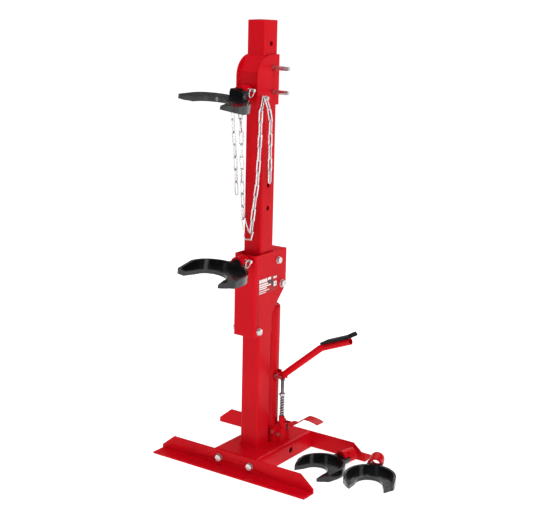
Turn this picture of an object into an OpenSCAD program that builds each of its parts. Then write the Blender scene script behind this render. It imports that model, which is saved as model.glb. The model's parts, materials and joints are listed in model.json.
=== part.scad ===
// Foot-operated strut spring compressor stand.
// Origin on the floor under the post axis. X runs along the legs, the yokes face -Y, Z is up.

/* [Post] */
// Width of the square post
post_w = 60; // [50:1:64]
// Wall of the post
post_wall = 4; // [3:0.5:6]
// Height of the post's top above the floor
post_top = 1280; // [1240:5:1400]
// Diameter of the cross holes for the lock pins
pin_hole_d = 13; // [12.5:0.1:14]
// Height of the topmost cross hole
hole_top_z = 1218; // [1210:1:1225]
// Spacing of the cross holes
hole_pitch = 65; // [65:1:65]
// Number of cross holes
hole_count = 8; // [4:1:9]

/* [Base] */
// Length of each angle-iron leg
leg_l = 538; // [400:2:700]
// Flange width of the leg angle
leg_w = 50; // [45:1:60]
// Thickness of the leg angle
leg_t = 5; // [4:0.5:8]
// Distance from the post axis to the front leg's front face
front_leg_y = 97; // [90:1:140]
// Distance from the post axis to the rear leg's front face
rear_leg_y = 189; // [170:1:240]
// Width of the folded crossmember
cross_w = 160; // [140:2:180]
// Height of the folded crossmember
cross_h = 52; // [50:1:60]
// Sheet thickness of the crossmember
cross_t = 5; // [4:0.5:6]

/* [Upper slide] */
// Outside width of the slide
slide_w = 72; // [71:1:76]
// Height of the slide
slide_h = 137; // [130:1:150]
// Height of the slide's lower edge above the floor
slide_z = 1051; // [1051:1:1051]
// Diameter of the lock pins
lock_pin_d = 12; // [11.5:0.1:12.4]

/* [Carriage] */
// Outside width of the carriage
carriage_w = 76; // [74:1:80]
// Height of the carriage
carriage_h = 238; // [230:1:250]
// Height of the carriage's lower edge at rest
carriage_z = 398; // [398:1:398]
// Sheet thickness of the slide and the carriage
sheet_t = 4; // [3.5:0.5:4]

/* [Ram and pump] */
// Outside radius of the ram cylinder
ram_r = 30; // [27:1:30]
// Radius of the ram rod
rod_r = 15; // [12:1:16]
// Distance of the ram axis behind the post axis
ram_y = 67; // [67:1:70]
// Distance of the pump axis beside the ram axis
pump_x = 50; // [50:1:52]

/* [Yokes] */
// Outside radius of the dish round the back
yoke_r = 88; // [84:1:92]
// Half width of the gap between the arms
yoke_gap_r = 46; // [42:1:48]
// Height of the dish wall
yoke_h = 24; // [22:1:28]
// Tilt of the yokes that follows the pitch of a coil spring
yoke_tilt = 7.5; // [0:0.5:10]
// Radius of the spigots
spigot_r = 15; // [12:0.5:16]
// Height of the upper spigot
upper_axis_z = 1088; // [1084:1:1092]
// Height of the lower spigot at rest
lower_axis_z = 616; // [612:1:618]
// Outside radius of the spare yokes
spare_r = 74; // [70:1:76]
// Half width of the gap in the spare yokes
spare_gap_r = 39; // [36:1:41]

/* [Chain] */
// Wire diameter of the chain
chain_d = 4; // [3:0.5:4]
// Outside width of a chain link
chain_w = 13.6; // [12.5:0.1:13.6]
// Pitch of the chain
chain_pitch = 34.8; // [33.8:0.1:35.6]

/* [Hidden] */
$fn = 48;
RED = "#c8141c";
BLACK = "#17171a";
ZINC = "#b9bcc0";
STEEL = "#8f9296";
run_fit = 0.06;
post_h = post_top - cross_h;
bolt_x = 55;
bolt_z = 27;
bolt_hole_r = 6.5;
end_plate_t = 5;
side_hole_y = 76;
side_hole_r = 9;
slide_y0 = -70;
slide_y1 = 36;
slide_plate_y = -63;
slide_fold_z = 1142;
slide_round_r = 58;
lock_z = [hole_top_z - hole_pitch, hole_top_z - 2 * hole_pitch];
carriage_y0 = -64;
carriage_y1 = 88;
carriage_low_y1 = 20;
ram_pin_z = 534;
ram_pin_r = 8;
bolt_af = 17;
rear_roller = [46, 607, 15.5];
front_roller = [-45, 414, 14.5];
roller_l = 60;
axle_r = 6;
block_top = 98;
ram_top = 448;
ram_bore_r = 22;
barrel_top = 131;
lever_z = 255;
lever_pivot_x = 37;
lever_boss_r = 6.5;
lever_pin_r = 3.5;
plunger_r = 5;
plunger_pin_r = 3;
tongue_r = 6;
spring_top = 197;
socket_r = 21;
collar_r = 23.5;
socket_y0 = -67;
socket_y1 = -103;
groove_y = -85;
ring_pin_r = 2.5;
ring_pin_z = 13.5;
plug_z = 300;
plug_r = 5;
release_y = 93;
release_x = 38;
release_z = 106;
release_pin_r = 4;
release_rise = 29;
strip_w = 36;
strip_bend_x = 78;
strip_crest_x = 126;
strip_x1 = 169;
strip_droop = 7;
valve_x = 54;
stem_r = 3;
block_bolts = [[38, 38, 87], [52, 50, 78]];
block_bolt_r = 3;

// ---- general helpers ----

module along_x(x, y, z) { translate([x, y, z]) rotate([0, 90, 0]) children(); }
module along_y(x, y, z) { translate([x, y, z]) rotate([-90, 0, 0]) children(); }

module rod_x(x0, x1, y, z, r) { along_x(x0, y, z) cylinder(h = x1 - x0, r = r); }
module rod_y(y0, y1, x, z, r) { along_y(x, y0, z) cylinder(h = y1 - y0, r = r); }
module rod_z(z0, z1, x, y, r) { translate([x, y, z0]) cylinder(h = z1 - z0, r = r); }

module block(x0, x1, y0, y1, z0, z1) {
    translate([x0, y0, z0]) cube([x1 - x0, y1 - y0, z1 - z0]);
}

// A rectangle with its four corners rounded, from x0, y0 to x1, y1
module round_rect(x0, y0, x1, y1, r) {
    translate([x0 + r, y0]) square([x1 - x0 - 2 * r, y1 - y0]);
    translate([x0, y0 + r]) square([x1 - x0, y1 - y0 - 2 * r]);
    for (x = [x0 + r, x1 - r], y = [y0 + r, y1 - r]) translate([x, y]) circle(r = r);
}

// A profile drawn in Y and Z, extruded along X over the full width
module side_profile(width) {
    translate([-width / 2, 0, 0]) rotate([90, 0, 90]) linear_extrude(width) children();
}

module hex_head(h, af) { cylinder(h = h, r = af / sqrt(3), $fn = 6); }

// A swept round bar along a list of points, sides and rings worked out from the path
function unit(v) = v / norm(v);
function tangent(p, i) = unit(p[min(i + 1, len(p) - 1)] - p[max(i - 1, 0)]);
function side_of(t) = unit(abs(t[2]) < 0.9 ? cross(t, [0, 0, 1]) : cross(t, [0, 1, 0]));
module swept_bar(p, r, sides) {
    rings = [for (i = [0 : len(p) - 1])
        let (t = tangent(p, i), a = side_of(t), b = cross(t, a))
        for (k = [0 : sides - 1]) p[i] + r * (cos(360 * k / sides) * a + sin(360 * k / sides) * b)];
    last = (len(p) - 1) * sides;
    walls = [for (i = [0 : len(p) - 2], k = [0 : sides - 1])
        [i * sides + k, i * sides + (k + 1) % sides,
         (i + 1) * sides + (k + 1) % sides, (i + 1) * sides + k]];
    caps = [[for (k = [sides - 1 : -1 : 0]) k], [for (k = [0 : sides - 1]) last + k]];
    polyhedron(points = rings, faces = concat(walls, caps), convexity = 8);
}

// ---- base ----

module leg_angle() {
    chamfer_l = 43;
    end_h = 15;
    intersection() {
        union() {
            block(-leg_l / 2, leg_l / 2, 0, leg_t, 0, leg_w);
            block(-leg_l / 2, leg_l / 2, leg_t - leg_w, leg_t, 0, leg_t);
        }
        translate([0, leg_t, 0]) rotate([90, 0, 0]) linear_extrude(leg_w)
            polygon([[-leg_l / 2, 0], [leg_l / 2, 0], [leg_l / 2, end_h],
                [leg_l / 2 - chamfer_l, leg_w], [chamfer_l - leg_l / 2, leg_w], [-leg_l / 2, end_h]]);
    }
}

module leg_holes() {
    for (x = [-bolt_x, bolt_x]) rod_y(-1, leg_t + 1, x, bolt_z, bolt_hole_r);
}

module front_leg() {
    color(RED) translate([0, -front_leg_y, 0]) difference() {
        leg_angle();
        leg_holes();
    }
}

module rear_leg() {
    color(RED) translate([0, rear_leg_y + leg_t, 0]) rotate([0, 0, 180]) difference() {
        leg_angle();
        leg_holes();
    }
}

module crossmember() {
    y0 = leg_t - front_leg_y;
    bend_r = 10;
    color(RED) difference() {
        translate([0, rear_leg_y, 0]) rotate([90, 0, 0]) linear_extrude(rear_leg_y - y0) difference() {
            union() {
                round_rect(-cross_w / 2, 0, cross_w / 2, cross_h, bend_r);
                translate([-cross_w / 2, 0]) square([cross_w, bend_r]);
            }
            round_rect(cross_t - cross_w / 2, -bend_r, cross_w / 2 - cross_t, cross_h - cross_t, 5);
        }
        rod_x(-cross_w, cross_w, side_hole_y, bolt_z, side_hole_r);
    }
}

module end_plate() {
    x1 = cross_w / 2 - cross_t;
    difference() {
        translate([0, end_plate_t, 0]) rotate([90, 0, 0]) linear_extrude(end_plate_t)
            round_rect(0.5 - x1, 4, x1 - 0.5, cross_h - cross_t - 0.2, 7);
        for (x = [-bolt_x, bolt_x]) rod_y(-1, end_plate_t + 1, x, bolt_z, bolt_hole_r);
    }
}

module cross_end_plates() {
    color(RED) {
        translate([0, leg_t - front_leg_y, 0]) end_plate();
        translate([0, rear_leg_y - end_plate_t, 0]) end_plate();
    }
}

module leg_bolt() {
    rotate([90, 0, 0]) {
        cylinder(h = 1.8, r = 11);
        translate([0, 0, 1.8]) hex_head(7, 18);
        translate([0, 0, -26]) cylinder(h = 27, r = 6);
    }
}

module leg_nut() {
    rotate([90, 0, 0]) difference() {
        hex_head(9, 18);
        translate([0, 0, -1]) cylinder(h = 11, r = 6);
    }
}

module leg_bolts() {
    color(ZINC) for (x = [-bolt_x, bolt_x]) {
        translate([x, -front_leg_y, bolt_z]) leg_bolt();
        translate([x, rear_leg_y + leg_t, bolt_z]) mirror([0, 1, 0]) leg_bolt();
    }
}

module leg_nuts() {
    color(ZINC) for (x = [-bolt_x, bolt_x]) {
        translate([x, -front_leg_y + leg_t + 14, bolt_z]) leg_nut();
        translate([x, rear_leg_y - end_plate_t, bolt_z]) leg_nut();
    }
}

// ---- post ----

module main_post() {
    w = post_w / 2;
    color(RED) difference() {
        translate([0, 0, cross_h]) linear_extrude(post_h) difference() {
            round_rect(-w, -w, w, w, 5);
            round_rect(post_wall - w, post_wall - w, w - post_wall, w - post_wall, 2);
        }
        for (i = [0 : hole_count - 1])
            rod_x(-w - 1, w + 1, 0, hole_top_z - i * hole_pitch, pin_hole_d / 2);
    }
}

module post_end_cap() {
    w = post_w / 2 - post_wall - 0.3;
    color(RED) translate([0, 0, post_top - 5]) linear_extrude(4) round_rect(-w, -w, w, w, 2);
}

// ---- ram ----

module ram_cylinder() {
    color(RED) translate([0, ram_y, block_top]) difference() {
        cylinder(h = ram_top - block_top, r = ram_r);
        translate([0, 0, 12]) cylinder(h = ram_top, r = ram_bore_r);
        rod_y(0, ram_r + 1, 0, plug_z - block_top, plug_r);
    }
}

module ram_head() {
    h = 20;
    color(RED) translate([0, ram_y, ram_top]) difference() {
        rotate_extrude() {
            square([ram_r - 10, h]);
            square([ram_r, h - 10]);
            translate([ram_r - 10, h - 10]) circle(r = 10);
        }
        translate([0, 0, -1]) cylinder(h = h + 2, r = rod_r + run_fit);
    }
}

module ram_rod() {
    color(STEEL) rod_z(150, 512, 0, ram_y, rod_r);
}

module ram_piston() {
    color(STEEL) rod_z(126, 150, 0, ram_y, ram_bore_r - run_fit);
}

module ram_saddle() {
    color(RED) difference() {
        union() {
            block(-24, 24, ram_y - 20, ram_y + 20, 512, ram_pin_z);
            rod_x(-24, 24, ram_y, ram_pin_z, 20);
        }
        rod_x(-25, 25, ram_y, ram_pin_z, ram_pin_r);
    }
}

// ---- pump ----

module pump_block() {
    color(RED) difference() {
        union() {
            block(-32, 45, 38, 97, cross_h, block_top);
            block(45, 60, 50, 80, cross_h, block_top);
            block(release_x - 8, release_x + 6, 89, 97, block_top - 1, release_z + 6);
        }
        rod_y(88, 98, release_x, release_z, release_pin_r);
        rod_z(block_top - 30, block_top + 1, pump_x, ram_y, plunger_r + run_fit);
        for (a = block_bolts) rod_y(a[1] - 1, a[1] + 9, a[0], a[2], block_bolt_r);
    }
}

module pump_block_bolts() {
    color(ZINC) for (a = block_bolts) translate(a) rotate([90, 0, 0]) {
        hex_head(5, 11);
        translate([0, 0, -8]) cylinder(h = 9, r = block_bolt_r - 0.05);
    }
}

module pump_barrel() {
    color(RED) difference() {
        union() {
            rod_z(block_top, barrel_top, pump_x, ram_y, 9);
            translate([pump_x, ram_y, block_top]) hex_head(9, 20);
        }
        rod_z(block_top - 1, barrel_top + 1, pump_x, ram_y, plunger_r + run_fit);
    }
}

module pump_plunger() {
    tongue = 4;
    color(STEEL) difference() {
        union() {
            rod_z(82, 244, pump_x, ram_y, plunger_r);
            rod_y(ram_y - tongue, ram_y + tongue, pump_x, lever_z, tongue_r);
            block(pump_x - plunger_r, pump_x + plunger_r, ram_y - tongue, ram_y + tongue, 240, lever_z);
        }
        rod_y(ram_y - 5, ram_y + 5, pump_x, lever_z, plunger_pin_r);
    }
}

module plunger_pin() {
    color(ZINC) rod_y(ram_y - 10, ram_y + 10, pump_x, lever_z, plunger_pin_r);
}

module spring_retainer() {
    color(ZINC) difference() {
        rod_z(spring_top, spring_top + 4, pump_x, ram_y, 9.5);
        rod_z(spring_top - 1, spring_top + 5, pump_x, ram_y, plunger_r);
    }
}

module pump_spring() {
    turns = 8;
    wire_r = 1.2;
    coil_r = 7;
    rise = spring_top - barrel_top - 2 * wire_r;
    steps = turns * 14;
    color(ZINC) swept_bar([for (i = [0 : steps])
        let (a = 360 * turns * i / steps)
        [pump_x + coil_r * cos(a), ram_y + coil_r * sin(a), barrel_top + wire_r + rise * i / steps]],
        wire_r, 8);
}

module oil_plug() {
    color(ZINC) {
        rod_y(ram_y + ram_bore_r + 1, ram_y + ram_r + 1, 0, plug_z, plug_r - 0.05);
        along_y(0, ram_y + ram_r + 1, plug_z) hex_head(5, 13);
    }
}

// ---- foot pedal ----

arm_start = [56, 262];
bend = [180, 367.5];
foot_end = [275, 405.5];
tube_r = 10;
tube_wall = 2.5;
pad_x = [14, 118];
bend_r = 45;
arm_slope = atan2(bend[1] - arm_start[1], bend[0] - arm_start[0]);
pad_slope = atan2(foot_end[1] - bend[1], foot_end[0] - bend[0]);
bend_reach = bend_r * tan((arm_slope - pad_slope) / 2);

// A round bar in the pedal's plane from point a, at a slope, for a length
module sloped_bar(a, slope, length, r) {
    translate([a[0], ram_y, a[1]]) rotate([0, 90 - slope, 0]) cylinder(h = length, r = r);
}

function along(a, slope, d) = a + d * [cos(slope), sin(slope)];

module pedal_bracket() {
    color(RED) difference() {
        for (s = [-1, 1]) translate([0, ram_y + s * 11, 0]) difference() {
            union() {
                block(20, lever_pivot_x, -2.5, 2.5, lever_z - 16, lever_z + 14);
                rod_y(-2.5, 2.5, lever_pivot_x, lever_z, 9);
            }
            rod_y(-4, 4, lever_pivot_x, lever_z, lever_pin_r + run_fit);
        }
        rod_z(lever_z - 40, lever_z + 40, 0, ram_y, ram_r);
    }
}

module pedal_pivot_pin() {
    color(ZINC) {
        rod_y(ram_y - 15, ram_y + 15, lever_pivot_x, lever_z, lever_pin_r);
        rod_y(ram_y - 18, ram_y - 15, lever_pivot_x, lever_z, lever_boss_r);
    }
}

module pedal_elbow() {
    start = along(bend, arm_slope, -bend_reach);
    centre = along(start, arm_slope - 90, bend_r);
    translate([centre[0], ram_y, centre[1]]) rotate([90, 0, 0]) rotate([0, 0, pad_slope + 90])
        rotate_extrude(angle = arm_slope - pad_slope) translate([bend_r, 0]) circle(r = tube_r);
}

module pedal_lever() {
    foot_l = norm(foot_end - bend) - bend_reach;
    color(RED) difference() {
        union() {
            rod_y(ram_y - 8, ram_y + 8, lever_pivot_x, lever_z, lever_boss_r);
            block(lever_pivot_x, 62, ram_y - 8, ram_y + 8, lever_z - 6, lever_z + 8);
            sloped_bar(arm_start, arm_slope, norm(bend - arm_start) - bend_reach, tube_r);
            pedal_elbow();
            sloped_bar(along(bend, pad_slope, bend_reach), pad_slope, foot_l, tube_r);
        }
        sloped_bar(along(bend, pad_slope, bend_reach + 5), pad_slope, foot_l, tube_r - tube_wall);
        rod_y(ram_y - 9, ram_y + 9, lever_pivot_x, lever_z, lever_pin_r + run_fit);
        rod_y(ram_y - 9, ram_y + 9, pump_x + 1, lever_z + 0.3, plunger_pin_r + 1.7);
        block(43.8, 63, ram_y - 4.4, ram_y + 4.4, lever_z - 9, lever_z + 30);
    }
}

module on_pad_slope() {
    translate([bend[0], ram_y, bend[1]]) rotate([0, -pad_slope, 0]) children();
}

module pedal_plate() {
    color(BLACK) on_pad_slope() translate([0, 0, tube_r]) linear_extrude(3)
        round_rect(pad_x[0], -24, pad_x[1], 24, 5);
}

module pedal_pad() {
    color(BLACK) on_pad_slope() difference() {
        union() {
            translate([0, 0, tube_r + 3]) linear_extrude(4) round_rect(pad_x[0], -24, pad_x[1], 24, 5);
            block(pad_x[1] - 7, pad_x[1], -17, 17, tube_r + 3, tube_r + 12);
        }
        for (x = [pad_x[0] + 10 : 10 : pad_x[1] - 16]) block(x, x + 4, -19, 19, tube_r + 5, tube_r + 20);
    }
}

// ---- release pedal ----

module release_valve_body() {
    color(RED) difference() {
        rod_z(cross_h, 78, valve_x, release_y, 8);
        rod_z(60, 79, valve_x, release_y, stem_r + run_fit);
    }
}

module release_stem() {
    color(STEEL) rod_z(66, release_z - 3.3, valve_x, release_y, stem_r);
}

// The strip runs level, swings up and droops a little towards its end
function smooth(t) = t <= 0 ? 0 : t >= 1 ? 1 : t * t * (3 - 2 * t);
function strip_z(x) = release_rise * smooth((x - strip_bend_x) / (strip_crest_x - strip_bend_x))
    - strip_droop * pow(max(0, x - strip_crest_x) / (strip_x1 - strip_crest_x), 2);

module release_pedal() {
    t = 3;
    z0 = release_z - t;
    ear_l = 32;
    x0 = release_x + ear_l - 5;
    steps = 26;
    xs = [for (i = [0 : steps]) x0 + (strip_x1 - x0) * i / steps];
    color(RED) {
        translate([0, release_y + strip_w / 2, 0]) rotate([90, 0, 0]) linear_extrude(strip_w)
            polygon(concat([for (x = xs) [x, z0 + strip_z(x)]],
                [for (i = [steps : -1 : 0]) [xs[i], z0 + t + strip_z(xs[i])]]));
        for (y = [release_y - 7.3, release_y + 4.3]) difference() {
            union() {
                rod_y(y, y + t, release_x, release_z, 6.5);
                block(release_x, release_x + ear_l, y, y + t, release_z - 5, release_z);
            }
            rod_y(y - 1, y + t + 1, release_x, release_z, release_pin_r + run_fit);
        }
    }
}

module release_pivot_pin() {
    color(ZINC) rod_y(release_y - 10, release_y + 10, release_x, release_z, release_pin_r);
}

// ---- upper slide ----

module slide_outline() {
    top = slide_z + slide_h;
    x0 = slide_y0;
    translate([x0, slide_z]) square([slide_y1 - x0, slide_h - slide_round_r]);
    translate([x0 + slide_round_r, slide_z]) square([slide_y1 - x0 - slide_round_r, slide_h]);
    translate([x0 + slide_round_r, top - slide_round_r]) circle(r = slide_round_r, $fn = 96);
}

module slide_shell() {
    w = slide_w / 2;
    color(RED) difference() {
        intersection() {
            translate([0, 0, slide_z - 1]) linear_extrude(slide_h + 2) difference() {
                union() {
                    round_rect(-w, slide_y0, w, slide_y1, 6);
                    translate([-w, slide_y0]) square([slide_w, 20]);
                }
                translate([sheet_t - w, slide_y0 - 1])
                    square([slide_w - 2 * sheet_t, slide_y1 - slide_y0 - sheet_t + 1]);
            }
            side_profile(slide_w) slide_outline();
        }
        for (z = lock_z) rod_x(-w - 1, w + 1, 0, z, pin_hole_d / 2);
    }
}

module slide_front_plate() {
    w = slide_w / 2 - sheet_t;
    y0 = slide_plate_y;
    top = slide_z + slide_h - 1;
    lean_y = -post_w / 2 - 1;
    t = sheet_t;
    color(RED) side_profile(2 * w)
        polygon([[y0, slide_z], [y0 + t, slide_z], [y0 + t, slide_fold_z], [lean_y, top - 5],
            [lean_y, top], [y0, slide_fold_z + 2]]);
}

module spigot(plate_y) {
    difference() {
        union() {
            rod_y(socket_y1 + 2, plate_y, 0, 0, spigot_r);
            rod_y(socket_y1 + 1, socket_y1 + 2, 0, 0, spigot_r - 1);
        }
        difference() {
            rod_y(groove_y - 3, groove_y + 3, 0, 0, spigot_r + 1);
            rod_y(groove_y - 4, groove_y + 4, 0, 0, ring_pin_z - ring_pin_r - 0.3);
        }
    }
}

module upper_spigot() {
    color(STEEL) translate([0, 0, upper_axis_z]) spigot(slide_plate_y);
}

module lock_pin(z) {
    r = lock_pin_d / 2;
    color(ZINC) {
        rod_x(-slide_w / 2 - 1, 88, 0, z, r);
        rod_x(88, 90, 0, z, r - 1.5);
        rod_x(-slide_w / 2 - 8, -slide_w / 2 - 0.5, 0, z, 11);
    }
}

module lock_pin_upper() { lock_pin(lock_z[0]); }
module lock_pin_lower() { lock_pin(lock_z[1]); }

// ---- yokes ----

back_y = -109;
upper_dish_z = 8;
lower_dish_z = -19;
arm_reach = [40, 66];
spare_reach = [38, 32];
upper_collar_top = 11;
lower_collar_top = 4;
wall_t = 7;
lip_t = 5;
floor_t = 6;
lip_h = 11;
rim_slope = 12;
tip_corner = 15;
gap_flare = 0.3;
collar_y = [-117, -85];
head_hole_r = 5.2;

// The outline of the dish round its centre, pulled in by out_in at the outside and by gap_in at the gap.
// reach holds how far the arms on the +X and the -X side go past the centre.
module dish_outline(out_in, gap_in, r, gap_r, reach) {
    difference() {
        union() {
            circle(r = r - out_in, $fn = 96);
            for (s = [0, 1]) mirror([s, 0])
                round_rect(gap_r - 20, out_in - reach[s], r - out_in, tip_corner + 1, tip_corner);
        }
        gap_outline(gap_r + gap_in);
    }
}

module gap_outline(gap_r) {
    shift = gap_r * 0.56;
    translate([0, -shift]) circle(r = gap_r, $fn = 96);
    polygon([[gap_r, -shift], [-gap_r, -shift], [-gap_r - gap_flare * 200, -shift - 200],
        [gap_r + gap_flare * 200, -shift - 200]]);
}

// A cradle round the socket, open past top on the side away from the dish
module collar(side, top) {
    difference() {
        rod_y(collar_y[0], collar_y[1], 0, 0, collar_r);
        translate([-40, -150, side > 0 ? -40 - top : top]) cube([80, 100, 40]);
    }
}

// The dish with its open side up, in the frame of its spigot axis, its floor's underside at z0
module yoke_dish(r, gap_r, reach, z0, top, pin_z = ring_pin_z) {
    centre_y = back_y - r;
    difference() {
        union() {
            translate([0, centre_y, z0]) linear_extrude(yoke_h) dish_outline(0, 0, r, gap_r, reach);
            collar(sign(z0), top);
        }
        translate([0, centre_y, z0 + floor_t]) linear_extrude(60)
            dish_outline(wall_t, lip_t, r, gap_r, reach);
        translate([0, centre_y, z0 + lip_h]) linear_extrude(60) gap_outline(gap_r + lip_t + 1);
        translate([-200, centre_y, z0 + yoke_h]) rotate([rim_slope, 0, 0]) translate([0, -200, 0])
            cube([400, 200, 60]);
        rod_y(socket_y1, -60, 0, 0, socket_r);
        rod_x(5, collar_r + 8, groove_y, pin_z, head_hole_r);
    }
}

module yoke_socket(y0 = socket_y0) {
    difference() {
        rod_y(socket_y1, y0, 0, 0, socket_r);
        rod_y(socket_y1 - 1, y0 + 1, 0, 0, spigot_r + run_fit);
        rod_x(-30, 30, groove_y, ring_pin_z, ring_pin_r + run_fit);
    }
}

// The pin lies across the spigot's groove; its ring hangs from the head, swung forward by swing
module ring_pin(swing) {
    head_x = 31;
    ring_r = 11;
    wire_r = 1.4;
    translate([0, groove_y, ring_pin_z]) {
        difference() {
            union() {
                rod_x(-12, head_x, 0, 0, ring_pin_r);
                rod_x(head_x - 2, head_x + 5, 0, 0, 4.5);
            }
            rod_y(-6, 6, head_x + 1, 0, 2.5);
        }
        rotate([-swing, 0, 0]) translate([head_x + 1, 0, -ring_r]) rotate([0, 90, 0])
            rotate_extrude() translate([ring_r, 0]) circle(r = wire_r, $fn = 20);
    }
}

module tilted(z) { translate([0, 0, z]) rotate([0, yoke_tilt, 0]) children(); }

module upper_yoke() {
    color(BLACK) tilted(upper_axis_z) mirror([0, 0, 1])
        yoke_dish(yoke_r, yoke_gap_r, arm_reach, upper_dish_z, upper_collar_top, -ring_pin_z);
}
module upper_yoke_socket() { color(RED) tilted(upper_axis_z) yoke_socket(); }
module upper_ring_pin() { color(ZINC) tilted(upper_axis_z) ring_pin(50); }
module lower_yoke() {
    color(BLACK) tilted(lower_axis_z)
        yoke_dish(yoke_r, yoke_gap_r, arm_reach, lower_dish_z, lower_collar_top);
}
module lower_yoke_socket() { color(RED) tilted(lower_axis_z) yoke_socket(); }
module lower_ring_pin() { color(ZINC) tilted(lower_axis_z) ring_pin(65); }

// A spare yoke lies on its collar and its arm tips, with the dish up and its centre at x, y
spare_centre_y = back_y - spare_r;
spare_lean = asin((collar_r + lower_dish_z) / (spare_reach[0] - spare_centre_y + collar_y[0]));
spare_z = collar_r * cos(spare_lean) - (collar_y[0] - spare_centre_y) * sin(spare_lean);
spare_socket_y0 = -58;
floor_gap = 0.05;
left_at = [200, 48, -17];
right_at = [358, 64, 20];
module on_floor(a) {
    translate([a[0], a[1], spare_z + floor_gap]) rotate([0, 0, a[2]]) rotate([spare_lean, 0, 0])
        translate([0, -spare_centre_y, 0]) children();
}
module spare_dish() { yoke_dish(spare_r, spare_gap_r, spare_reach, lower_dish_z, lower_collar_top); }
module spare_yoke_left() { color(BLACK) on_floor(left_at) spare_dish(); }
module spare_socket_left() { color(RED) on_floor(left_at) yoke_socket(spare_socket_y0); }
module spare_yoke_right() { color(BLACK) on_floor(right_at) spare_dish(); }
module spare_socket_right() { color(RED) on_floor(right_at) yoke_socket(spare_socket_y0); }

// ---- carriage ----

module carriage_outline() {
    top = carriage_z + carriage_h;
    polygon([[carriage_y0, carriage_z], [carriage_low_y1, carriage_z], [carriage_low_y1, 455],
        [carriage_y1, 527], [carriage_y1, top], [carriage_y0, top]]);
}

module carriage_shell() {
    w = carriage_w / 2;
    color(RED) difference() {
        intersection() {
            translate([0, 0, carriage_z - 1]) linear_extrude(carriage_h + 2) difference() {
                union() {
                    round_rect(-w, carriage_y0, w, carriage_y0 + 40, 8);
                    translate([-w, carriage_y0 + 20]) square([carriage_w, carriage_y1 - carriage_y0 - 20]);
                }
                round_rect(sheet_t - w, carriage_y0 + sheet_t, w - sheet_t, carriage_y1 + 20, 4);
            }
            side_profile(carriage_w) carriage_outline();
        }
        for (a = [rear_roller, front_roller]) rod_x(-w - 1, w + 1, a[0], a[1], axle_r);
        rod_x(-w - 1, w + 1, ram_y, ram_pin_z, ram_pin_r);
    }
}

module carriage_bridge() {
    w = carriage_w / 2 - sheet_t;
    top = carriage_z + carriage_h;
    color(RED) {
        block(-w, w, 33, carriage_y1, top - 4, top);
        block(-w, w, carriage_y1 - 4, carriage_y1, 560, top - 4);
    }
}

module lower_spigot() {
    color(STEEL) translate([0, 0, lower_axis_z]) spigot(carriage_y0);
}

module roller(a) {
    color(STEEL) difference() {
        rod_x(-roller_l / 2, roller_l / 2, a[0], a[1], a[2]);
        rod_x(-roller_l / 2 - 1, roller_l / 2 + 1, a[0], a[1], axle_r + run_fit);
    }
}

module rear_roller() { roller(rear_roller); }
module front_roller() { roller(front_roller); }

// Hex bolt with a nut on the far side, through both carriage plates
module cross_bolt(y, z, r, af) {
    w = carriage_w / 2;
    color(ZINC) {
        rod_x(-w - af * 0.55, w, y, z, r);
        along_x(w, y, z) {
            cylinder(h = 1.5, r = af * 0.62);
            translate([0, 0, 1.5]) hex_head(af * 0.38, af);
        }
        along_x(-w - af * 0.5, y, z) difference() {
            hex_head(af * 0.5, af);
            translate([0, 0, -1]) cylinder(h = af * 0.5 + 2, r = r);
        }
    }
}

module rear_roller_bolt() { cross_bolt(rear_roller[0], rear_roller[1], axle_r, bolt_af); }
module front_roller_bolt() { cross_bolt(front_roller[0], front_roller[1], axle_r, bolt_af); }
module ram_pin_bolt() { cross_bolt(ram_y, ram_pin_z, ram_pin_r, 19); }

module rating_label() {
    x0 = carriage_w / 2;
    film_t = 0.4;
    color(RED) block(x0, x0 + film_t, -49, 42, 520, 566);
}

// ---- chain ----

link_gap = 0.6;
hook_at = [-53, 1075];

// The routes, from the top of each strand to its end
right_tail_path = [[51, -53.4, 1078], [54, -40, 1047], [54, -30, 1015], [50, -25, 966], [46, -18, 896],
    [45, -16, 840]];
left_tail_path = [[-51, -53, 1077.6], [-51, -66, 1040], [-48, -55, 930], [-46, -46, 800]];
right_run_path = [[44.5, -53, 1077.6], [40, -58, 1040], [36, -53, 975], [31, -50, 906], [26, -49, 836],
    [18, -49, 780], [13, -49, 736], [8, -49, 698.1]];
left_run_path = [[-44.5, -53, 1077.6], [-43, -40, 1040], [-34, -46, 985], [-28, -50, 930], [-25, -50, 829],
    [-20, -49, 734.6]];

function path_len(p, i = 0) = i >= len(p) - 1 ? 0 : norm(p[i + 1] - p[i]) + path_len(p, i + 1);
function at(p, s, i = 0) =
    let (d = norm(p[i + 1] - p[i]))
    (s <= d || i >= len(p) - 2) ? p[i] + (p[i + 1] - p[i]) * s / d : at(p, s - d, i + 1);

// One link, its long axis along Z and its flat side across X
module chain_link() {
    r = chain_d / 2;
    mid_r = (chain_w - chain_d) / 2;
    straight = chain_pitch + 2 * chain_d - chain_w + link_gap;
    for (s = [-1, 1]) {
        translate([s * mid_r, 0, -straight / 2]) cylinder(h = straight, r = r, $fn = 16);
        translate([0, 0, s * straight / 2]) rotate([90, 0, 0])
            rotate_extrude(angle = s * 180) translate([mid_r, 0]) circle(r = r, $fn = 16);
    }
}

module placed_link(a, b, roll) {
    d = b - a;
    translate((a + b) / 2) rotate([0, acos(d[2] / norm(d)), atan2(d[1], d[0])])
        rotate([0, 0, roll - atan2(d[1], d[0])]) chain_link();
}

// Links from one end of a path to the other, each turned a quarter from the last, with twist added in all
module chain_run(p, twist = 0) {
    n = round(path_len(p) / chain_pitch);
    step = path_len(p) / n;
    for (i = [0 : n - 1])
        placed_link(at(p, (i + 1) * step), at(p, i * step), 90 + (90 + twist / (n - 1)) * i);
}

module chain_right_tail() { color(ZINC) chain_run(right_tail_path); }
module chain_left_tail() { color(ZINC) chain_run(left_tail_path); }
module chain_loop() {
    color(ZINC) {
        chain_run(right_run_path);
        chain_run(left_run_path, 90);
    }
}

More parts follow.
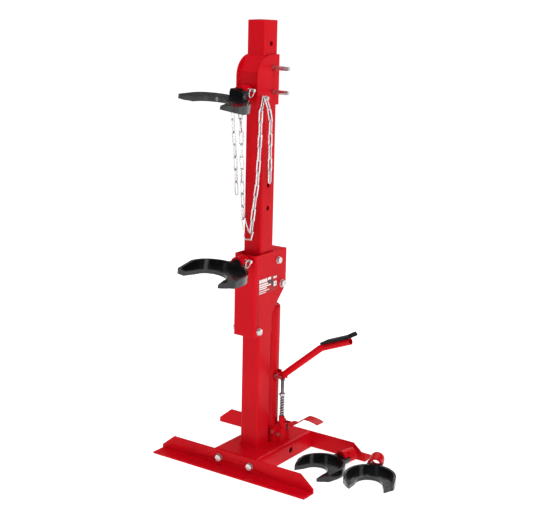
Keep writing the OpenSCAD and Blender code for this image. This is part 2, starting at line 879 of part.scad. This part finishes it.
module chain_delta_ring() {
    corners = [[-26, 736.5], [-14, 736.5], [1, 700], [15, 700], [9, 678], [-14, 676]];
    ring_y = -49;
    r = chain_d / 2;
    color(ZINC) for (i = [0 : len(corners) - 1]) {
        a = corners[i];
        d = corners[(i + 1) % len(corners)] - a;
        translate([a[0], ring_y, a[1]]) {
            sphere(r = r + 0.5, $fn = 24);
            rotate([0, atan2(d[0], d[1]), 0]) cylinder(h = norm(d), r = r, $fn = 24);
        }
    }
}

module chain_hooks() {
    w = slide_w / 2;
    hook_r = 1.9;
    head_r = 6;
    color(ZINC) for (s = [0, 1]) mirror([s, 0, 0]) {
        rod_x(w, 57, hook_at[0], hook_at[1], hook_r);
        rod_x(56, 59, hook_at[0], hook_at[1], head_r);
    }
}

front_leg();
rear_leg();
crossmember();
cross_end_plates();
leg_bolts();
leg_nuts();
main_post();
post_end_cap();
ram_cylinder();
ram_head();
ram_rod();
ram_piston();
ram_saddle();
ram_pin_bolt();
pump_block();
pump_block_bolts();
pump_barrel();
pump_plunger();
plunger_pin();
spring_retainer();
pump_spring();
oil_plug();
pedal_bracket();
pedal_pivot_pin();
pedal_lever();
pedal_plate();
pedal_pad();
release_valve_body();
release_stem();
release_pedal();
release_pivot_pin();
slide_shell();
slide_front_plate();
upper_spigot();
lock_pin_upper();
lock_pin_lower();
chain_hooks();
chain_right_tail();
chain_left_tail();
chain_loop();
chain_delta_ring();
upper_yoke();
upper_yoke_socket();
upper_ring_pin();
carriage_shell();
carriage_bridge();
lower_spigot();
rear_roller();
front_roller();
rear_roller_bolt();
front_roller_bolt();
rating_label();
lower_yoke();
lower_yoke_socket();
lower_ring_pin();
spare_yoke_left();
spare_socket_left();
spare_yoke_right();
spare_socket_right();
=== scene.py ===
"""A foot-operated strut spring compressor stand: looks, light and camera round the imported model."""

import json
import math
import random

import bmesh
import bpy
from mathutils import Matrix, Vector


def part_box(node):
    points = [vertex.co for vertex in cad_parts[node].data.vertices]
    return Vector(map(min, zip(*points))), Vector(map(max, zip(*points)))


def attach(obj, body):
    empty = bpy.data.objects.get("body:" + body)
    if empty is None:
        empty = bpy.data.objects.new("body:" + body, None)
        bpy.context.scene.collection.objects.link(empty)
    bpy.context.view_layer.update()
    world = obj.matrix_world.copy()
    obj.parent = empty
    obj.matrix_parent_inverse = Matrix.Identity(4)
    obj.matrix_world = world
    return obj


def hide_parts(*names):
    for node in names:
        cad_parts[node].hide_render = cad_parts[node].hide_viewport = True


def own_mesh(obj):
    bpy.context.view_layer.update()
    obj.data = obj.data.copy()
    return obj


MM = 0.001
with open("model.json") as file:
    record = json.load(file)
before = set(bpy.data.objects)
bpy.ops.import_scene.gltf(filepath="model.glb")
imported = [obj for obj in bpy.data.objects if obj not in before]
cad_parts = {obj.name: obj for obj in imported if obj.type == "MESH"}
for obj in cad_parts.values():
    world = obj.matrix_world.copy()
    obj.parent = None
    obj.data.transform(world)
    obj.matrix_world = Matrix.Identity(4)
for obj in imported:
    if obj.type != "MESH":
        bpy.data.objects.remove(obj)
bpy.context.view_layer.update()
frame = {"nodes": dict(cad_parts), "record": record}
random.seed(7)


# ---- materials ----

class Shader:
    """A node material, built from small steps."""

    def __init__(self, name, color, roughness, metallic=0.0):
        self.material = bpy.data.materials.new(name)
        self.material.use_nodes = True
        self.nodes = self.material.node_tree.nodes
        self.links = self.material.node_tree.links
        self.bsdf = self.nodes["Principled BSDF"]
        self.set("Base Color", (*color, 1))
        self.set("Roughness", roughness)
        self.set("Metallic", metallic)
        self.coords = self.nodes.new("ShaderNodeTexCoord").outputs["Object"]

    def set(self, socket, value):
        self.bsdf.inputs[socket].default_value = value

    def link(self, source, target):
        self.links.new(source, target)

    def noise(self, scale, detail=4.0, roughness=0.5, stretch=(1, 1, 1)):
        """Noise on object coordinates, scale in cycles per metre."""
        mapping = self.nodes.new("ShaderNodeMapping")
        mapping.inputs["Scale"].default_value = stretch
        node = self.nodes.new("ShaderNodeTexNoise")
        node.inputs["Scale"].default_value = scale
        node.inputs["Detail"].default_value = detail
        node.inputs["Roughness"].default_value = roughness
        self.link(self.coords, mapping.inputs["Vector"])
        self.link(mapping.outputs["Vector"], node.inputs["Vector"])
        return node.outputs["Fac"]

    def ramp(self, source, low, high, start=0.35, end=0.65):
        """source turned into a value from low to high, or a colour from low to high."""
        if isinstance(low, (int, float)):
            node = self.nodes.new("ShaderNodeMapRange")
            node.inputs["From Min"].default_value = start
            node.inputs["From Max"].default_value = end
            node.inputs["To Min"].default_value = low
            node.inputs["To Max"].default_value = high
            self.link(source, node.inputs["Value"])
            return node.outputs["Result"]
        node = self.nodes.new("ShaderNodeValToRGB")
        node.color_ramp.elements[0].position = start
        node.color_ramp.elements[0].color = (*low, 1)
        node.color_ramp.elements[1].position = end
        node.color_ramp.elements[1].color = (*high, 1)
        self.link(source, node.inputs["Fac"])
        return node.outputs["Color"]

    def mix(self, factor, first, second):
        """Two colours mixed, each a tuple or a source; the factor is 0 for the first."""
        node = self.nodes.new("ShaderNodeMix")
        node.data_type = "RGBA"
        factor_socket, first_socket, second_socket = node.inputs[0], node.inputs[6], node.inputs[7]
        for value, socket in ((factor, factor_socket), (first, first_socket), (second, second_socket)):
            if isinstance(value, tuple):
                socket.default_value = (*value, 1)
            else:
                self.link(value, socket)
        return node.outputs[2]

    def edges(self, radius, grain_scale):
        """Near 1 on sharp edges, broken up by a grain, and 0 elsewhere: the mask for a painted edge
        highlight.
        """
        bevel = self.nodes.new("ShaderNodeBevel")
        bevel.samples = 4
        bevel.inputs["Radius"].default_value = radius
        geometry = self.nodes.new("ShaderNodeNewGeometry")
        dot = self.nodes.new("ShaderNodeVectorMath")
        dot.operation = "DOT_PRODUCT"
        self.link(bevel.outputs["Normal"], dot.inputs[0])
        self.link(geometry.outputs["Normal"], dot.inputs[1])
        edge = self.ramp(dot.outputs["Value"], 1.0, 0.0, 0.80, 0.99)
        grain = self.ramp(self.noise(grain_scale, 6, 0.7), 0.0, 1.0, 0.5, 0.72)
        product = self.nodes.new("ShaderNodeMath")
        product.operation = "MULTIPLY"
        self.link(edge, product.inputs[0])
        self.link(grain, product.inputs[1])
        return product.outputs["Value"]

    def bumps(self, *layers):
        """Each layer is (height source, strength, depth in metres)."""
        normal = None
        for source, strength, depth in layers:
            node = self.nodes.new("ShaderNodeBump")
            node.inputs["Strength"].default_value = strength
            node.inputs["Distance"].default_value = depth
            self.link(source, node.inputs["Height"])
            if normal:
                self.link(normal, node.inputs["Normal"])
            normal = node.outputs["Normal"]
        self.link(normal, self.bsdf.inputs["Normal"])


def red_powder_coat():
    s = Shader("red_powder_coat", (0.56, 0.002, 0.008), 0.34)
    tone = s.ramp(s.noise(9, 3), (0.52, 0.0015, 0.007), (0.60, 0.0025, 0.010), 0.3, 0.7)
    # Painted highlight: sharp edges are mixed to a lighter red, broken up by a grain.
    s.link(s.mix(s.edges(0.0012, 190), tone, (0.66, 0.02, 0.025)), s.bsdf.inputs["Base Color"])
    s.link(s.ramp(s.noise(55, 4), 0.30, 0.44), s.bsdf.inputs["Roughness"])
    s.bumps((s.noise(420, 2), 0.10, 0.0004), (s.noise(26, 3), 0.08, 0.002))
    s.set("Specular IOR Level", 0.06)
    s.set("Coat Weight", 0.04)
    s.set("Coat Roughness", 0.10)
    return s.material


def black_dip():
    s = Shader("black_dip", (0.006, 0.006, 0.007), 0.18)
    s.link(s.ramp(s.noise(40, 3), (0.004, 0.004, 0.005), (0.010, 0.010, 0.011)), s.bsdf.inputs["Base Color"])
    s.link(s.ramp(s.noise(60, 3), 0.12, 0.24), s.bsdf.inputs["Roughness"])
    s.bumps((s.noise(30, 2), 0.16, 0.0016))
    s.set("Specular IOR Level", 0.30)
    s.set("Coat Weight", 0.35)
    s.set("Coat Roughness", 0.05)
    return s.material


def zinc_plate():
    s = Shader("zinc_plate", (0.38, 0.39, 0.41), 0.28, 1.0)
    s.link(s.ramp(s.noise(70, 4), (0.52, 0.53, 0.55), (0.72, 0.72, 0.70)), s.bsdf.inputs["Base Color"])
    s.link(s.ramp(s.noise(160, 5), 0.18, 0.38), s.bsdf.inputs["Roughness"])
    s.bumps((s.noise(700, 3), 0.12, 0.0002))
    return s.material


def spring_wire():
    s = Shader("spring_wire", (0.62, 0.63, 0.65), 0.22, 1.0)
    s.link(s.ramp(s.noise(90, 4), (0.54, 0.55, 0.57), (0.72, 0.72, 0.70)), s.bsdf.inputs["Base Color"])
    s.link(s.ramp(s.noise(200, 4), 0.16, 0.32), s.bsdf.inputs["Roughness"])
    s.bumps((s.noise(900, 2), 0.08, 0.0002))
    return s.material


def ground_steel():
    s = Shader("ground_steel", (0.10, 0.10, 0.105), 0.3, 1.0)
    s.link(s.ramp(s.noise(60, 4), (0.06, 0.06, 0.065), (0.15, 0.148, 0.145)), s.bsdf.inputs["Base Color"])
    s.link(s.ramp(s.noise(900, 3, stretch=(0.1, 0.1, 3)), 0.18, 0.42), s.bsdf.inputs["Roughness"])
    s.bumps((s.noise(900, 3, stretch=(0.1, 0.1, 3)), 0.10, 0.0002))
    return s.material


def black_rubber():
    s = Shader("black_rubber", (0.010, 0.010, 0.010), 0.6)
    s.link(s.ramp(s.noise(80, 5), (0.006, 0.006, 0.007), (0.018, 0.017, 0.016)), s.bsdf.inputs["Base Color"])
    s.link(s.ramp(s.noise(220, 4), 0.45, 0.7), s.bsdf.inputs["Roughness"])
    s.bumps((s.noise(1200, 3), 0.3, 0.0003))
    s.set("Specular IOR Level", 0.08)
    return s.material


def label_film():
    s = Shader("label_film", (0.42, 0.003, 0.009), 0.35)
    s.link(s.ramp(s.noise(35, 3), (0.38, 0.002, 0.007), (0.46, 0.004, 0.011)), s.bsdf.inputs["Base Color"])
    s.link(s.ramp(s.noise(200, 3), 0.28, 0.42), s.bsdf.inputs["Roughness"])
    s.bumps((s.noise(300, 2), 0.06, 0.0003))
    s.set("Specular IOR Level", 0.2)
    return s.material


def ink(name, color):
    """Matt print of one colour, a little uneven."""
    s = Shader(name, color, 0.4)
    lighter = tuple(min(1, c * 1.15 + 0.004) for c in color)
    s.link(s.ramp(s.noise(300, 4), color, lighter), s.bsdf.inputs["Base Color"])
    s.link(s.ramp(s.noise(260, 3), 0.3, 0.5), s.bsdf.inputs["Roughness"])
    return s.material


MATERIALS = {
    "red_paint": red_powder_coat(),
    "black_dip": black_dip(),
    "zinc_plate": zinc_plate(),
    "bare_steel": ground_steel(),
    "black_rubber": black_rubber(),
    "label": label_film(),
}


# ---- CAD nodes: material and rounded edges ----

EDGE = 0.7  # the usual rounding, in millimetres
WELD_WITHIN = 0.02 * MM  # vertices closer than this are one
SOFT_EDGES = {
    "upper_yoke": 3.0, "lower_yoke": 3.0, "spare_yoke_left": 3.0, "spare_yoke_right": 3.0,
    "pedal_pad": 1.2, "pump_block": 1.6, "ram_saddle": 1.5, "crossmember": 0.8,
}
NO_BEVEL = {
    "pump_spring", "chain_left_tail", "chain_right_tail", "chain_loop", "chain_delta_ring",
    "rating_label", "spring_retainer", "release_stem",
}


def round_edges(node, width):
    """A bevel on sharp edges, in metres, with the mesh's split vertices joined first."""
    weld = node.modifiers.new("weld", "WELD")
    weld.merge_threshold = WELD_WITHIN
    bevel = node.modifiers.new("bevel", "BEVEL")
    bevel.width = width
    bevel.segments = 3
    bevel.limit_method = "ANGLE"
    bevel.angle_limit = math.radians(32)
    bevel.use_clamp_overlap = True
    normals = node.modifiers.new("normals", "WEIGHTED_NORMAL")
    normals.keep_sharp = False


def finish_cad_nodes():
    """Each CAD node gets its slot's material and, but for thin or small ones, rounded edges."""
    for entry in frame["record"]["subparts"]:
        node = frame["nodes"][entry["node"]]
        node.data.materials.clear()
        node.data.materials.append(MATERIALS[entry["material_slot"]])
        if entry["node"] not in NO_BEVEL:
            round_edges(node, SOFT_EDGES.get(entry["node"], EDGE) * MM)


# ---- pieces that CAD leaves plain ----

def new_piece(name, mesh_builder, material, body, smooth=True):
    """A mesh piece in the row frame, filled in by mesh_builder(bm), that rides on a body."""
    mesh = bpy.data.meshes.new(name)
    bm = bmesh.new()
    mesh_builder(bm)
    bmesh.ops.recalc_face_normals(bm, faces=bm.faces)
    bm.to_mesh(mesh)
    bm.free()
    for polygon in mesh.polygons:
        polygon.use_smooth = smooth
    obj = bpy.data.objects.new(name, mesh)
    bpy.context.collection.objects.link(obj)
    mesh.materials.append(material)
    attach(obj, body)
    return obj


def sweep(bm, points, radii, sides=10, closed=False):
    """A round tube along points, with one radius for each point."""
    count = len(points)
    rings = []
    for i, point in enumerate(points):
        after = points[(i + 1) % count] if closed or i < count - 1 else point
        before = points[i - 1] if closed or i > 0 else point
        tangent = (after - before).normalized()
        across = tangent.orthogonal() if not rings else rings[-1][1]
        across = (across - tangent * across.dot(tangent)).normalized()
        side = tangent.cross(across)
        ring = []
        for k in range(sides):
            angle = 2 * math.pi * k / sides
            offset = across * math.cos(angle) + side * math.sin(angle)
            ring.append(bm.verts.new(point + offset * radii[i]))
        rings.append((ring, across))
    loops = [ring for ring, _ in rings]
    for i in range(count if closed else count - 1):
        a, b = loops[i], loops[(i + 1) % count]
        for k in range(sides):
            bm.faces.new((a[k], a[(k + 1) % sides], b[(k + 1) % sides], b[k]))
    if not closed:
        bm.faces.new(loops[0][::-1])
        bm.faces.new(loops[-1])


def spaced(corners, step, closed):
    """Points every step or so along straight runs between corners."""
    points = []
    ends = corners[1:] + (corners[:1] if closed else [])
    for start, end in zip(corners, ends):
        count = max(1, round((end - start).length / step))
        points += [start.lerp(end, i / count) for i in range(count)]
    return points if closed else points + [corners[-1]]


def weld_bead(name, corners, radius, body, closed=False):
    """A painted weld bead: overlapping ripples along a run of corners, in metres."""
    step = 1.1 * MM
    points_per_ripple = 3.2
    swell, jitter = 0.13, 0.05
    points = spaced([Vector(c) for c in corners], step, closed)
    radii = []
    for i in range(len(points)):
        ripple = swell * math.cos(2 * math.pi * i / points_per_ripple)
        radii.append(radius * (1 + ripple + random.uniform(-jitter, jitter)))
    bead = MATERIALS["red_paint"]
    new_piece(name, lambda bm: sweep(bm, points, radii, closed=closed), bead, body)


def circle_points(centre, radius, axis):
    """Points on a circle round an axis, "y" or "z"."""
    count = 40
    points = []
    for i in range(count):
        angle = 2 * math.pi * i / count
        a, b = radius * math.cos(angle), radius * math.sin(angle)
        offset = (a, 0, b) if axis == "y" else (a, b, 0)
        points.append(Vector(centre) + Vector(offset))
    return points


def middle(low, high):
    """The centre of a box, as a list."""
    return [(a + b) / 2 for a, b in zip(low, high)]


def weld_base():
    """Beads round the foot of the post and the ram, and along the pump block's front."""
    proud = 1.2 * MM
    end_gap = 15 * MM
    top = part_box("crossmember")[1][2]
    (x0, y0, _), (x1, y1, _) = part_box("main_post")
    x0, y0, x1, y1 = x0 - proud, y0 - proud, x1 + proud, y1 + proud
    corners = [(x0, y0, top), (x1, y0, top), (x1, y1, top), (x0, y1, top)]
    weld_bead("weld_post_foot", corners, 2.6 * MM, "stand", True)
    low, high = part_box("ram_cylinder")
    centre = middle(low, high)[:2] + [low[2]]
    ring = circle_points(centre, (high[0] - low[0]) / 2 + proud, "z")
    weld_bead("weld_ram_foot", ring, 2.2 * MM, "stand", True)
    low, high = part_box("pump_block")
    front, right = low[1] - proud, high[0] - end_gap
    weld_bead("weld_block_front", [(low[0], front, top), (right, front, top)], 2.0 * MM, "stand")


def weld_slide_and_carriage():
    """Beads down both sides of the slide's front plate and along the carriage's bridge."""
    low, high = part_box("slide_front_plate")
    bottom, fold = low[2] + 4 * MM, high[2] - 47 * MM
    for side, x in (("left", low[0]), ("right", high[0])):
        weld_bead("weld_slide_" + side, [(x, low[1], bottom), (x, low[1], fold)], 1.7 * MM, "stand")
    low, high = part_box("carriage_bridge")
    front, back = low[1] + 3 * MM, high[1] - 2 * MM
    for side, x in (("left", low[0]), ("right", high[0])):
        ends = [(x, front, high[2]), (x, back, high[2])]
        weld_bead("weld_bridge_" + side, ends, 1.5 * MM, "carriage")


def weld_spigots():
    """A bead where each spigot meets its plate."""
    sunk = 0.6 * MM
    for name, spigot, body in (("upper", "upper_spigot", "stand"), ("lower", "lower_spigot", "carriage")):
        low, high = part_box(spigot)
        centre = middle(low, high)
        centre[1] = high[1] - sunk
        ring = circle_points(centre, (high[0] - low[0]) / 2 + sunk, "y")
        weld_bead("weld_spigot_" + name, ring, 1.6 * MM, body, True)


def add_spring():
    """The pump's return spring, a smooth wire."""
    low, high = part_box("pump_spring")
    wire = 1.2 * MM
    turns, steps = 8, 30
    coil = (high[0] - low[0]) / 2 - wire
    x, y, _ = middle(low, high)
    bottom, rise = low[2] + wire, high[2] - low[2] - 2 * wire
    points = []
    for i in range(turns * steps + 1):
        angle = 2 * math.pi * i / steps
        z = bottom + rise * i / (turns * steps)
        points.append(Vector((x + coil * math.cos(angle), y + coil * math.sin(angle), z)))
    radii = [wire] * len(points)

    def build(bm):
        sweep(bm, points, radii)

    spring = new_piece("pump_spring_wire", build, spring_wire(), "stand")
    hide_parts("pump_spring")
    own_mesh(spring)


def slab(bm, y0, y1, z0, z1, x0, x1):
    """A thin box that stands on a plate facing +X."""
    matrix = Matrix.Translation(((x0 + x1) / 2, (y0 + y1) / 2, (z0 + z1) / 2))
    size = Matrix.Diagonal((x1 - x0, y1 - y0, z1 - z0, 1))
    bmesh.ops.create_cube(bm, size=1, matrix=matrix @ size)


WHITE_PRINT = [  # blocks as left, right, low, high shares of the label
    (0.03, 0.12, 0.74, 0.96), (0.14, 0.22, 0.74, 0.96), (0.24, 0.33, 0.74, 0.96), (0.35, 0.45, 0.74, 0.96),
    (0.50, 0.66, 0.82, 0.97), (0.80, 0.88, 0.80, 0.92), (0.90, 0.97, 0.80, 0.92),
    (0.03, 0.50, 0.58, 0.67), (0.03, 0.66, 0.45, 0.53), (0.03, 0.44, 0.33, 0.40),
    (0.03, 0.58, 0.19, 0.24), (0.03, 0.40, 0.07, 0.12), (0.82, 0.97, 0.30, 0.60)]
BLACK_PRINT = [(0.50, 0.76, 0.58, 0.78), (0.70, 0.80, 0.28, 0.62), (0.87, 0.92, 0.36, 0.54)]


def add_label_print(name, blocks, color, thickness):
    """Plain blocks and bars in place of the label's print."""
    (_, y0, z0), (x1, y1, z1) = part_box("rating_label")
    width, height = y1 - y0, z1 - z0
    sunk = 0.05 * MM

    def build(bm):
        for left, right, low, high in blocks:
            slab(bm, y0 + width * left, y0 + width * right, z0 + height * low, z0 + height * high,
                 x1 - sunk, x1 + thickness)

    new_piece(name, build, ink(name, color), "carriage", False)


# ---- camera, floor, light ----

FLOOR_RADIUS = 62
WALL_RADIUS = 60
WALL_TOP = 60
WALL_BOTTOM = -10


def camera():
    """A long lens from the front right, a little above the stand's top."""
    place = Vector((1.9166, -2.7345, 1.4208))
    yaw, pitch, roll = (math.radians(a) for a in (34.18, 13.5, 1.37))
    forward = Vector((-math.sin(yaw) * math.cos(pitch), math.cos(yaw) * math.cos(pitch), -math.sin(pitch)))
    level = Vector((math.cos(yaw), math.sin(yaw), 0))
    up = level.cross(forward)
    right = level * math.cos(roll) + up * math.sin(roll)
    up = up * math.cos(roll) - level * math.sin(roll)
    data = bpy.data.cameras.new("camera")
    data.lens = 79.0
    data.sensor_width = 36.0
    data.clip_start = 0.1
    data.clip_end = 500
    obj = bpy.data.objects.new("camera", data)
    axes = Matrix((right, up, -forward)).transposed().to_4x4()
    obj.matrix_world = Matrix.Translation(place) @ axes
    bpy.context.collection.objects.link(obj)
    bpy.context.scene.camera = obj


def floor():
    """A pale disc that glows a little, so it stays plain white without hot spots."""
    bpy.ops.mesh.primitive_circle_add(vertices=96, radius=FLOOR_RADIUS, fill_type="NGON")
    plane = bpy.context.object
    plane.name = "floor"
    s = Shader("pale_floor", (0.9, 0.9, 0.9), 0.55)
    s.link(s.ramp(s.noise(2, 3), (0.60, 0.60, 0.60), (0.63, 0.63, 0.63)), s.bsdf.inputs["Base Color"])
    s.set("Emission Color", (1, 1, 1, 1))
    s.set("Emission Strength", 0.80)
    s.set("Specular IOR Level", 0.15)
    plane.data.materials.append(s.material)


def backdrop():
    """A pale wall far off behind the floor, which neither lights the stand nor shows in its gloss."""
    centre = (0, 0, (WALL_TOP + WALL_BOTTOM) / 2)
    height = WALL_TOP - WALL_BOTTOM
    bpy.ops.mesh.primitive_cylinder_add(
        vertices=96, radius=WALL_RADIUS, depth=height, end_fill_type="NOTHING", location=centre)
    wall = bpy.context.object
    wall.name = "backdrop"
    wall.visible_diffuse = False
    wall.visible_glossy = False
    wall.visible_shadow = False
    s = Shader("pale_backdrop", (0.9, 0.9, 0.9), 0.9)
    s.link(s.ramp(s.noise(0.05, 2), (0.60, 0.60, 0.60), (0.63, 0.63, 0.63)), s.bsdf.inputs["Base Color"])
    s.set("Emission Color", (1, 1, 1, 1))
    s.set("Emission Strength", 1.0)
    wall.data.materials.append(s.material)


def painted_shade_floor():
    """A near-black patch painted in as shade on the floor under the crossmember, where the pale floor's glow
    would otherwise show through the holes.
    """
    (x0, y0, _), (x1, y1, _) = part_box("crossmember")
    mesh = bpy.data.meshes.new("painted_shade_floor")
    inset, lift = 7 * MM, 0.4 * MM
    x0, y0, x1, y1 = x0 + inset, y0 + inset, x1 - inset, y1 - inset
    mesh.from_pydata([(x0, y0, lift), (x1, y0, lift), (x1, y1, lift), (x0, y1, lift)], [], [(0, 1, 2, 3)])
    patch = bpy.data.objects.new("painted_shade_floor", mesh)
    bpy.context.collection.objects.link(patch)
    # Painted shade: a near-black sheet, a little uneven, in place of the shade inside the crossmember.
    s = Shader("painted_shade_floor", (0.05, 0.05, 0.05), 0.9)
    s.link(s.ramp(s.noise(30, 3), (0.03, 0.03, 0.03), (0.07, 0.07, 0.07)), s.bsdf.inputs["Base Color"])
    mesh.materials.append(s.material)


def area_light(name, place, target, size, watts):
    """A soft rectangular lamp at a place, aimed at a target, both in metres."""
    data = bpy.data.lights.new(name, "AREA")
    data.shape = "RECTANGLE"
    data.size, data.size_y = size
    data.energy = watts
    obj = bpy.data.objects.new(name, data)
    obj.location = place
    obj.rotation_euler = (Vector(target) - Vector(place)).to_track_quat("-Z", "Y").to_euler()
    bpy.context.collection.objects.link(obj)


def studio_world():
    """Dark low down, so glossy black stays black at a slant, and softly lit overhead."""
    world = bpy.data.worlds.new("studio")
    world.use_nodes = True
    nodes, links = world.node_tree.nodes, world.node_tree.links
    coords = nodes.new("ShaderNodeTexCoord")
    axes = nodes.new("ShaderNodeSeparateXYZ")
    ramp = nodes.new("ShaderNodeValToRGB")
    low, high = ramp.color_ramp.elements
    low.position, low.color = 0.28, (0.10, 0.10, 0.10, 1)
    high.position, high.color = 0.62, (0.80, 0.80, 0.82, 1)
    links.new(coords.outputs["Generated"], axes.inputs["Vector"])
    links.new(axes.outputs["Z"], ramp.inputs["Fac"])
    links.new(ramp.outputs["Color"], nodes["Background"].inputs["Color"])
    nodes["Background"].inputs["Strength"].default_value = 0.7
    bpy.context.scene.world = world


def light():
    area_light("key", (3.5, -0.9, 1.7), (0, 0, 0.45), (1.0, 2.4), 56)
    area_light("front", (0.2, -4.0, 0.9), (0, 0, 0.35), (1.0, 1.6), 30)
    area_light("back", (-0.6, 3.0, 2.8), (0, 0, 0.8), (2.2, 1.4), 34)
    area_light("top", (0.1, -0.4, 3.6), (0, 0, 0.5), (1.6, 1.6), 34)
    studio_world()
    bpy.context.scene.view_settings.view_transform = "Standard"


finish_cad_nodes()
weld_base()
weld_slide_and_carriage()
weld_spigots()
add_spring()
add_label_print("label_white_print", WHITE_PRINT, (0.80, 0.80, 0.78), 0.10 * MM)
add_label_print("label_black_print", BLACK_PRINT, (0.02, 0.02, 0.02), 0.14 * MM)
camera()
floor()
backdrop()
painted_shade_floor()
light()
